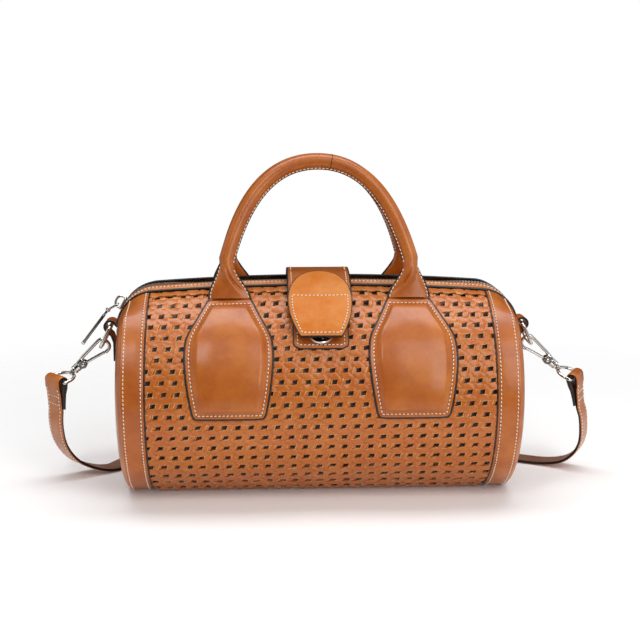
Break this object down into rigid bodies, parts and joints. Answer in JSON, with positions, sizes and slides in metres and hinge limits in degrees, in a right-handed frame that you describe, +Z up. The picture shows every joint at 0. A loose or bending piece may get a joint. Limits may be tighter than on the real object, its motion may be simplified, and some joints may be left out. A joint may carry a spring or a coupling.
{
  "type": "bowling bag",
  "caption": "Barrel-shaped leather handbag with woven body, rolled handles, snap flap over a top zip and a clip-on shoulder strap",
  "frame": {"origin": "on the ground, at the middle of the flat base", "axes": "+X along the bag towards its right end seen from the front, +Y to the back, +Z up; the front with the flap's tab faces -Y"},
  "size_m": [0.3988, 0.163, 0.2355],
  "materials": {
    "tan_leather": "glossy full-grain leather",
    "dark_edge_leather": "black leather piping",
    "woven_leather": "interlaced leather strips, semi-gloss",
    "foam": "foam filling inside leather",
    "board": "stiff fibre board",
    "lining_cloth": "dark woven lining",
    "nickel_plate": "bright nickel plate",
    "zip_tape": "black woven zip tape"
  },
  "bodies": {
    "bag": {"base_board": "board", "buckle_prong": "nickel_plate", "closure_patch": "tan_leather", "closure_strap": "tan_leather", "end_band_left": "tan_leather", "end_band_right": "tan_leather", "end_panel_left": "tan_leather", "end_panel_right": "tan_leather", "lining": "lining_cloth", "patch_back_left": "tan_leather", "patch_back_right": "tan_leather", "patch_front_left": "tan_leather", "patch_front_right": "tan_leather", "patch_pad_back_left": "foam", "patch_pad_back_right": "foam", "patch_pad_front_left": "foam", "patch_pad_front_right": "foam", "piping_back": "dark_edge_leather", "piping_front": "dark_edge_leather", "side_tab_left": "tan_leather", "side_tab_right": "tan_leather", "snap_socket": "nickel_plate", "strap_buckle": "nickel_plate", "strap_keeper": "tan_leather", "strap_long": "tan_leather", "strap_short": "tan_leather", "woven_shell": "woven_leather", "zip_stop_left": "nickel_plate", "zip_stop_right": "nickel_plate", "zip_strip_back": "tan_leather", "zip_strip_front": "tan_leather", "zip_tape_back": "zip_tape", "zip_tape_front": "zip_tape", "zip_teeth": "nickel_plate"},
    "handle_front": {"handle_core_front": "foam", "handle_neck_front_left": "tan_leather", "handle_neck_front_right": "tan_leather", "handle_sleeve_front": "tan_leather"},
    "handle_back": {"handle_core_back": "foam", "handle_neck_back_left": "tan_leather", "handle_neck_back_right": "tan_leather", "handle_sleeve_back": "tan_leather"},
    "flap": {"flap_strap": "tan_leather", "flap_tab": "tan_leather", "snap_stud": "nickel_plate"},
    "zip_slider": {"zip_slider": "nickel_plate"},
    "zip_link": {"zip_pull_link": "nickel_plate"},
    "zip_pull": {"zip_pull_bar": "nickel_plate"},
    "dring_left": {"dring_left": "nickel_plate"},
    "strap_end_left": {"strap_ring_left": "nickel_plate", "strap_fold_left": "tan_leather"},
    "hook_left": {"hook_left": "nickel_plate", "gate_pin_left": "nickel_plate"},
    "gate_left": {"gate_left": "nickel_plate"},
    "dring_right": {"dring_right": "nickel_plate"},
    "strap_end_right": {"strap_ring_right": "nickel_plate", "strap_fold_right": "tan_leather"},
    "hook_right": {"hook_right": "nickel_plate", "gate_pin_right": "nickel_plate"},
    "gate_right": {"gate_right": "nickel_plate"}
  },
  "joints": [
    {"name": "handle_front_fold", "type": "hinge", "parent": "bag", "child": "handle_front", "pos_m": [0, -0.03694, 0.13918], "axis": [1, 0, 0], "range_deg": [0, 95]},
    {"name": "handle_back_fold", "type": "hinge", "parent": "bag", "child": "handle_back", "pos_m": [0, 0.03694, 0.13918], "axis": [-1, 0, 0], "range_deg": [0, 95]},
    {"name": "flap_bend", "type": "hinge", "parent": "bag", "child": "flap", "pos_m": [0, -0.01011, 0.15409], "axis": [-1, 0, 0], "range_deg": [0, 140]},
    {"name": "zip_slider_shoulder", "type": "hinge", "parent": "bag", "child": "zip_slider", "pos_m": [-0.1125, 0, 0.1149], "axis": [0, 1, 0], "range_deg": [0, 55]},
    {"name": "zip_link_swing", "type": "hinge", "parent": "zip_slider", "child": "zip_link", "pos_m": [-0.14196, 0, 0.1297], "axis": [0, 1, 0], "range_deg": [0, 110]},
    {"name": "zip_pull_swing", "type": "hinge", "parent": "zip_link", "child": "zip_pull", "pos_m": [-0.14924, 0, 0.1255], "axis": [0, 1, 0], "range_deg": [0, 60]},
    {"name": "dring_left_swing", "type": "hinge", "parent": "bag", "child": "dring_left", "pos_m": [-0.1473, 0, 0.1143], "axis": [0, 1, 0], "range_deg": [-3, 3]},
    {"name": "strap_end_left_swing", "type": "hinge", "parent": "bag", "child": "strap_end_left", "pos_m": [-0.1546, 0, 0.0992], "axis": [0, 1, 0], "range_deg": [-15, 20], "stiffness_Nm_per_rad": 0.2, "deforming": ["strap_short"]},
    {"name": "hook_left_swivel", "type": "hinge", "parent": "strap_end_left", "child": "hook_left", "pos_m": [-0.17822, 0.005, 0.07799], "axis": [0.7441, 0, 0.6681], "range_deg": [-15, 15]},
    {"name": "gate_left_press", "type": "hinge", "parent": "hook_left", "child": "gate_left", "pos_m": [-0.16885, 0.005, 0.08506], "axis": [0, -1, 0], "range_deg": [0, 20], "stiffness_Nm_per_rad": 0.02, "springref_deg": -20.05},
    {"name": "dring_right_swing", "type": "hinge", "parent": "bag", "child": "dring_right", "pos_m": [0.1473, 0, 0.1143], "axis": [0, -1, 0], "range_deg": [-3, 3]},
    {"name": "strap_end_right_swing", "type": "hinge", "parent": "bag", "child": "strap_end_right", "pos_m": [0.1546, 0, 0.0992], "axis": [0, -1, 0], "range_deg": [-15, 20], "stiffness_Nm_per_rad": 0.2, "deforming": ["strap_long"]},
    {"name": "hook_right_swivel", "type": "hinge", "parent": "strap_end_right", "child": "hook_right", "pos_m": [0.17822, 0.005, 0.07799], "axis": [-0.7441, 0, 0.6681], "range_deg": [-15, 15]},
    {"name": "gate_right_press", "type": "hinge", "parent": "hook_right", "child": "gate_right", "pos_m": [0.16885, 0.005, 0.08506], "axis": [0, 1, 0], "range_deg": [0, 20], "stiffness_Nm_per_rad": 0.02, "springref_deg": -20.05}
  ]
}
